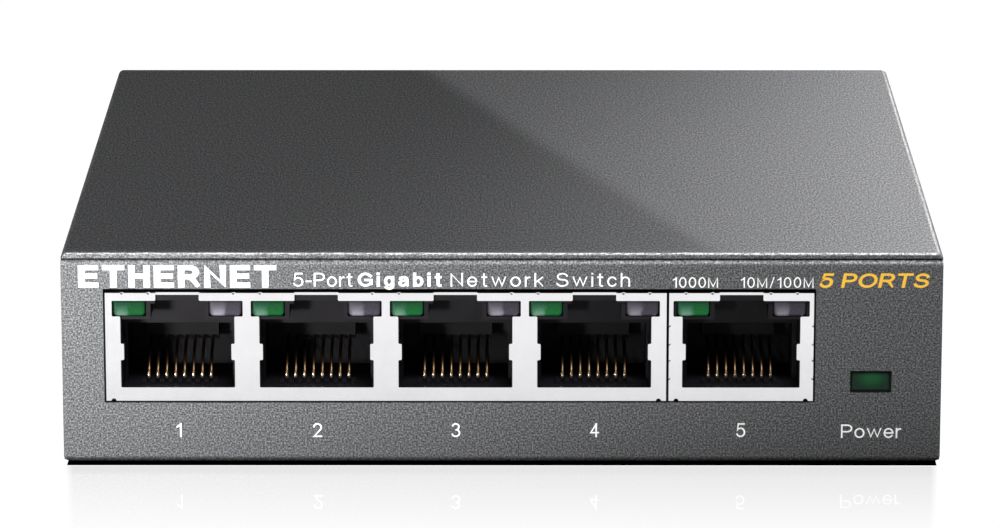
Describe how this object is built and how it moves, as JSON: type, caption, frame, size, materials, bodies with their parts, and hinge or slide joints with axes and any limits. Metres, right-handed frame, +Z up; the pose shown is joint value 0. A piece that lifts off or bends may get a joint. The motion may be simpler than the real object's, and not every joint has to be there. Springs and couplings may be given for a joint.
{
  "type": "desktop network switch",
  "caption": "Low square steel desktop network switch: a row of eight-way modular sockets with lamp windows on the front, power light, barrel power inlet and pin-hole reset behind.",
  "frame": {"origin": "on the desk, under the middle of the case, in the plane of the feet", "axes": "+X to the right seen from the sockets, +Y back from the sockets to the power inlet, +Z up"},
  "size_m": [0.0998, 0.098, 0.025],
  "materials": {
    "case_paint": "charcoal metallic powder coat, fine sparkle grain",
    "tin_shield": "bright tin plate, satin",
    "socket_plastic": "black moulded nylon",
    "carrier_plastic": "dark grey moulded polymer",
    "contact_gold": "gold plate over phosphor bronze",
    "green_lamp": "translucent green epoxy",
    "smoke_lamp": "translucent smoky epoxy",
    "power_lens": "dark translucent green",
    "foot_rubber": "soft black rubber",
    "zinc_screw": "bright zinc plate",
    "plate_label": "blank satin film",
    "board_laminate": "green solder mask over glass-epoxy laminate",
    "post_brass": "nickelled brass",
    "lamp_white": "white lamp body with a clear dome",
    "chip_resin": "black moulding resin with tinned leads",
    "thermal_sheet": "soft grey filled silicone",
    "sink_alloy": "natural anodised extrusion",
    "can_steel": "drawn steel can",
    "coil_ferrite": "moulded ferrite",
    "can_alloy": "bare drawn can with a black foot",
    "chip_ceramic": "glazed ceramic with tinned ends",
    "inlet_plastic": "black moulded nylon",
    "inlet_metal": "nickel plate",
    "switch_plastic": "black moulded nylon",
    "plunger_plastic": "pale moulded acetal"
  },
  "bodies": {
    "switch_body": {"board_posts": "post_brass", "board_screws": "zinc_screw", "bottom_label": "plate_label", "capacitor_cans": "can_alloy", "chassis_tray": "case_paint", "chip_resistors": "chip_ceramic", "circuit_board": "board_laminate", "contact_carrier_1": "carrier_plastic", "contact_carrier_2": "carrier_plastic", "contact_carrier_3": "carrier_plastic", "contact_carrier_4": "carrier_plastic", "contact_carrier_5": "carrier_plastic", "cover_screws": "zinc_screw", "crystal": "can_steel", "dc_inlet_housing": "inlet_plastic", "dc_inlet_leaf": "inlet_metal", "dc_inlet_pin": "inlet_metal", "flash_chip": "chip_resin", "heat_sink": "sink_alloy", "jack_housing_1_4": "socket_plastic", "jack_housing_5": "socket_plastic", "jack_shield_1_4": "tin_shield", "jack_shield_5": "tin_shield", "lan_transformer_1": "chip_resin", "lan_transformer_2": "chip_resin", "lan_transformer_3": "chip_resin", "lan_transformer_4": "chip_resin", "lan_transformer_5": "chip_resin", "left_led_1": "green_lamp", "left_led_2": "green_lamp", "left_led_3": "green_lamp", "left_led_4": "green_lamp", "left_led_5": "green_lamp", "port_contacts_1": "contact_gold", "port_contacts_2": "contact_gold", "port_contacts_3": "contact_gold", "port_contacts_4": "contact_gold", "port_contacts_5": "contact_gold", "power_coils": "coil_ferrite", "power_led": "lamp_white", "power_light_lens": "power_lens", "reset_dome": "inlet_metal", "reset_switch_base": "switch_plastic", "reset_switch_cap": "inlet_metal", "right_led_1": "smoke_lamp", "right_led_2": "smoke_lamp", "right_led_3": "smoke_lamp", "right_led_4": "smoke_lamp", "right_led_5": "smoke_lamp", "rubber_feet": "foot_rubber", "switch_chip": "chip_resin", "thermal_pad": "thermal_sheet", "top_cover": "case_paint", "voltage_regulators": "chip_resin"},
    "reset_button": {"reset_plunger": "plunger_plastic"}
  },
  "joints": [
    {"name": "reset_press", "type": "slide", "parent": "switch_body", "child": "reset_button", "axis": [0, -1, 0], "range_m": [0, 0.00025], "stiffness_N_per_m": 1500}
  ]
}
